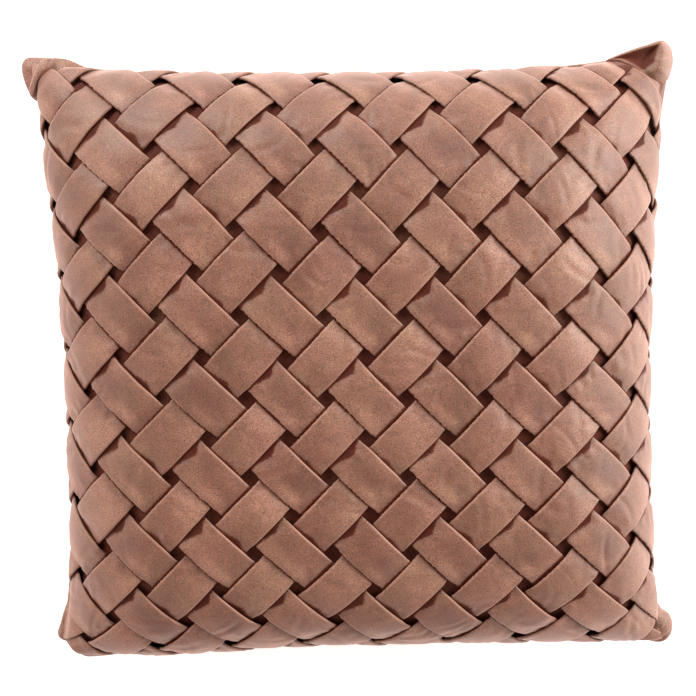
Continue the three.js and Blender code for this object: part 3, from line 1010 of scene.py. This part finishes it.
UPPER_LEFT_LOBE = [
    (-174.0, 200.5), (-181.0, 204.6), (-188.0, 207.8), (-194.0, 209.1), (-203.8, 209.5), (-210.3, 209.9),
    (-214.9, 209.7), (-217.9, 207.8), (-219.4, 204.2), (-219.3, 199.1), (-217.9, 193.2), (-215.9, 188.0),
    (-212.9, 182.8), (-205.0, 180.0), (-196.0, 188.0), (-184.0, 195.0),
]
UPPER_LEFT_ROLL = [
    (-197.6, 207.6), (-200.9, 208.9), (-204.9, 207.6), (-208.3, 203.1), (-211.2, 197.4), (-214.2, 188.4),
    (-213.4, 184.4), (-211.2, 183.9), (-208.8, 192.2), (-204.7, 197.9), (-198.6, 203.0),
]
# The pocket's mouth and its outline, point by point: x, y, z of each
POCKET = [
    ((172.5, 204.3, 63), (168.5, 203.6, 60)),
    ((184.5, 208.4, 66), (183.2, 209.6, 64)),
    ((194.8, 211.4, 67), (194.4, 213.0, 65)),
    ((201.3, 212.7, 67), (203.4, 215.6, 65)),
    ((201.3, 210.6, 67), (208.6, 214.0, 62)),
    ((200.6, 208.4, 67), (212.2, 209.8, 60)),
    ((199.8, 206.0, 67), (213.6, 204.0, 59)),
    ((198.9, 203.4, 68), (213.5, 199.6, 59)),
    ((198.4, 201.2, 68), (212.2, 195.0, 59)),
    ((196.4, 199.4, 67), (210.0, 189.6, 59)),
    ((194.0, 197.6, 66), (202.5, 186.0, 58)),
    ((191.6, 196.4, 65), (193.0, 189.5, 58)),
    ((184.8, 200.8, 64), (182.0, 196.0, 58)),
    ((177.4, 204.2, 63), (173.0, 200.5, 58)),
]
LOWER_RIGHT_LOBE = [
    (204.5, -172.5), (209.0, -174.0), (212.4, -178.4), (217.3, -182.1), (219.8, -188.1), (219.4, -195.5),
    (215.6, -201.3), (209.5, -203.0), (202.0, -201.0), (195.0, -194.7), (198.0, -182.5),
]
LOWER_LEFT_LOBE = [
    (-204.5, -160.0), (-208.5, -168.4), (-211.2, -177.0), (-213.4, -183.6), (-211.5, -188.2),
    (-203.6, -191.6), (-194.7, -193.3), (-191.3, -186.3), (-198.1, -174.5), (-200.4, -164.3),
]


PLEATS_AT = (205, -192)
PLEATS_TURN = -35


def pleats(x, y):
    """Small pinched folds that run into the lower right ear from under the weave."""
    turn = math.radians(PLEATS_TURN)
    dx, dy = x - PLEATS_AT[0], y - PLEATS_AT[1]
    along = dx * math.cos(turn) - dy * math.sin(turn)
    across = dx * math.sin(turn) + dy * math.cos(turn)
    return (1.5 * np.cos(across * 1.1) + 0.6 * np.cos(across * 2.3 + 1)) * hump(along, -1, 8) - 0.4


def soft_dents(x, y):
    """Two slow waves across an ear's top."""
    return 0.5 * np.sin(0.42 * x + 0.3 * y) + 0.3 * np.sin(0.25 * x - 0.6 * y + 1)


# outline, centre, height of the middle, thickness above and below it, and the relief on top
LOBES = [
    (UPPER_LEFT_LOBE, (-203.0, 198.0), 57.0, 5.0, 7.0, soft_dents),
    (UPPER_LEFT_ROLL, (-207.3, 199.3), 63.5, 4.5, 6.0, None),
    (LOWER_RIGHT_LOBE, (208.5, -189.5), 58.0, 8.5, 8.0, pleats),
    (LOWER_LEFT_LOBE, (-203.5, -180.5), 56.0, 3.2, 6.0, soft_dents),
]
POCKET_CENTRE = (191.5, 204.5)
POCKET_FLOOR = 61.5
POCKET_FOOT = 51.0


def cover_piece():
    shell = Shell()
    body_form(shell)
    for ear in LOBES:
        lobe(shell, *ear)
    cup(shell, *zip(*POCKET), POCKET_CENTRE, POCKET_FLOOR, POCKET_FOOT)
    # faces under the painted hollow shade take the velvet's shaded copy
    marks = {"inside": shell.inside}
    piece = mesh_object("cushion_cover", shell.points, shell.faces, COVER_VELVET, marks, shell.inside)
    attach(piece, "root")
    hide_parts("filled_body")


cover_piece()
for family_number, family in enumerate((RISING, FALLING)):
    for k in range(family["count"]):
        strip_piece(family, family["first"] + k, 100 * family_number + k)


# Studio


FLOOR_HALF = 6000.0
FLOOR_COLOUR = (0.91, 0.93, 0.94, 1)
FLOOR_ROUGHNESS = 0.9
FLOOR_GLOW = 0.45
WORLD_COLOUR = (1, 0.95, 0.92, 1)
WORLD_STRENGTH = 0.38
LIGHT_TARGET = (0, 0, 0.06)
COOL = (0.97, 0.99, 1)
COOLER = (0.95, 0.985, 1)
WARM = (1, 0.78, 0.7)
# name, place and size in metres, power in watts, colour
LIGHTS = [
    ("key", (1.15, 0.52, 0.76), (0.8, 0.8), 28, COOL),
    ("side", (1.5, -0.35, 0.6), (0.8, 0.8), 8, COOL),
    ("top", (-0.7, 1.15, 0.85), (0.7, 0.5), 22, COOLER),
    ("fill", (-1.3, -0.35, 0.8), (1.0, 1.0), 9, WARM),
    ("low", (0.4, -1.3, 0.8), (1.0, 1.0), 3, WARM),
]


def area_light(name, place, size, power, colour):
    data = bpy.data.lights.new(name, "AREA")
    data.shape = "RECTANGLE"
    data.size, data.size_y = size
    data.energy = power
    data.color = colour
    light = bpy.data.objects.new(name, data)
    light.location = place
    light.rotation_euler = (Vector(LIGHT_TARGET) - Vector(place)).to_track_quat("-Z", "Y").to_euler()
    bpy.context.scene.collection.objects.link(light)


def make_studio():
    material = bpy.data.materials.new("studio_floor")
    material.use_nodes = True
    shader = material.node_tree.nodes["Principled BSDF"]
    shader.inputs["Base Color"].default_value = FLOOR_COLOUR
    shader.inputs["Roughness"].default_value = FLOOR_ROUGHNESS
    shader.inputs["Emission Color"].default_value = (1, 1, 1, 1)
    shader.inputs["Emission Strength"].default_value = FLOOR_GLOW
    corners = [(x * FLOOR_HALF, y * FLOOR_HALF, 0) for x, y in ((-1, -1), (1, -1), (1, 1), (-1, 1))]
    floor = mesh_object("floor", corners, [(0, 1, 2, 3)], [material])
    world = bpy.data.worlds.new("studio")
    world.use_nodes = True
    background = world.node_tree.nodes["Background"]
    background.inputs["Color"].default_value = WORLD_COLOUR
    background.inputs["Strength"].default_value = WORLD_STRENGTH
    bpy.context.scene.world = world
    for light in LIGHTS:
        area_light(*light)
    bpy.context.scene.view_settings.view_transform = "Standard"


make_studio()
